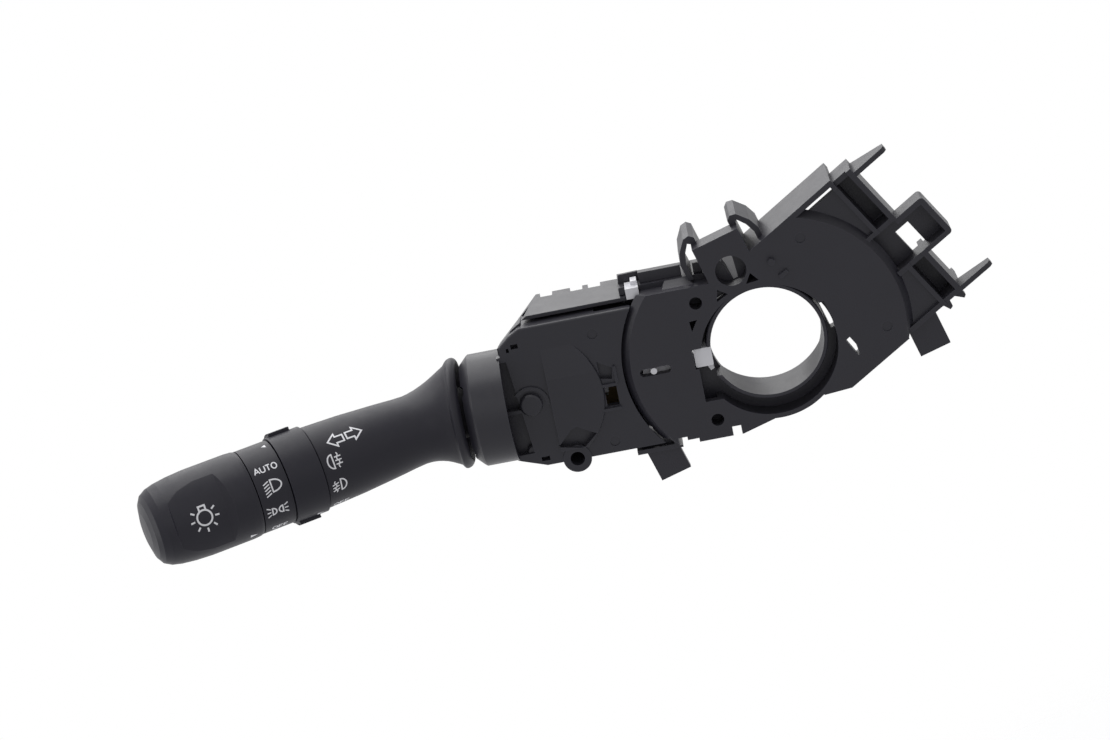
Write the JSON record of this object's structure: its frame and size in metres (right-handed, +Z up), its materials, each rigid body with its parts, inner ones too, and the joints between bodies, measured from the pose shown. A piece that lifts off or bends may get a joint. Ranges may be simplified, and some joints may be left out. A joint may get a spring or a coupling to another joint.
{
  "type": "combination stalk switch",
  "caption": "Steering column combination switch: bored black carrier with an empty right slot, and a left switch module with a tilting, swinging stalk, fog ring and light knob.",
  "frame": {"origin": "centre of the column bore on the front face", "axes": "+Z up, -Y toward the driver along the bore, +X to the driver's right"},
  "size_m": [0.3029, 0.091, 0.0949],
  "materials": {
    "carrier_plastic": "fine spark-eroded grain, glass-filled",
    "case_plastic": "fine grain",
    "stalk_plastic": "soft satin grain",
    "band_plastic": "soft satin grain, printed marks",
    "ring_plastic": "soft satin grain",
    "knob_plastic": "soft satin grain, printed marks",
    "core_plastic": "smooth",
    "white_acetal": "smooth, slightly waxy",
    "natural_acetal": "smooth, slightly waxy",
    "board": "paper laminate",
    "brass": "stamped",
    "tinned_brass": "tin plated",
    "zinc_steel": "zinc plated",
    "spring_steel": "drawn wire"
  },
  "bodies": {
    "housing": {"column_carrier": "carrier_plastic", "switch_cover": "case_plastic", "switch_case": "case_plastic", "contact_board": "board", "terminals": "tinned_brass", "case_screws": "zinc_steel", "detent_track": "white_acetal", "retainer_block": "white_acetal", "retainer_key": "white_acetal"},
    "turn_bracket": {"turn_bracket": "natural_acetal", "dimmer_pin": "zinc_steel", "contact_carrier": "natural_acetal", "contact_blades": "brass", "turn_spring": "spring_steel"},
    "stalk": {"lever_core": "core_plastic", "stalk_shell": "stalk_plastic", "marked_band": "band_plastic", "dimmer_spring": "spring_steel"},
    "fog_ring": {"fog_ring": "ring_plastic", "fog_tube": "core_plastic", "fog_rotor": "brass"},
    "light_knob": {"light_knob": "knob_plastic", "light_shaft": "core_plastic", "light_rotor": "brass"},
    "cancel_pawl": {"cancel_pawl": "white_acetal", "cancel_spring": "spring_steel"},
    "turn_plunger": {"turn_plunger": "zinc_steel"},
    "dimmer_plunger": {"dimmer_plunger": "zinc_steel"}
  },
  "joints": [
    {"name": "turn_signal", "type": "hinge", "parent": "housing", "child": "turn_bracket", "pos_m": [-0.0846, 0.015, 0.01698], "axis": [0, -1, 0], "range_deg": [-8, 8]},
    {"name": "dimmer_flash", "type": "hinge", "parent": "turn_bracket", "child": "stalk", "pos_m": [-0.08446, 0.01844, 0.01745], "axis": [0.2756, 0, 0.9613], "range_deg": [-5, 5], "stiffness_Nm_per_rad": 2},
    {"name": "fog_ring_turn", "type": "hinge", "parent": "stalk", "child": "fog_ring", "pos_m": [-0.10973, 0.0075, 0.02366], "axis": [-0.8953, -0.3875, 0.2199], "range_deg": [0, 75]},
    {"name": "light_knob_turn", "type": "hinge", "parent": "stalk", "child": "light_knob", "pos_m": [-0.10973, 0.0075, 0.02366], "axis": [-0.8953, -0.3875, 0.2199], "range_deg": [0, 101]},
    {"name": "cancel_pawl_slide", "type": "slide", "parent": "housing", "child": "cancel_pawl", "axis": [0.9613, 0, -0.2756], "range_m": [0, 0.0035], "stiffness_N_per_m": 60, "deforming": ["cancel_spring"]},
    {"name": "turn_plunger_slide", "type": "slide", "parent": "turn_bracket", "child": "turn_plunger", "axis": [-0.9613, 0, 0.2756], "range_m": [0, 0.0008], "stiffness_N_per_m": 400, "deforming": ["turn_spring"]},
    {"name": "dimmer_plunger_slide", "type": "slide", "parent": "stalk", "child": "dimmer_plunger", "axis": [-0.9613, 0, 0.2756], "range_m": [0, 0.0005], "stiffness_N_per_m": 400, "deforming": ["dimmer_spring"]}
  ]
}
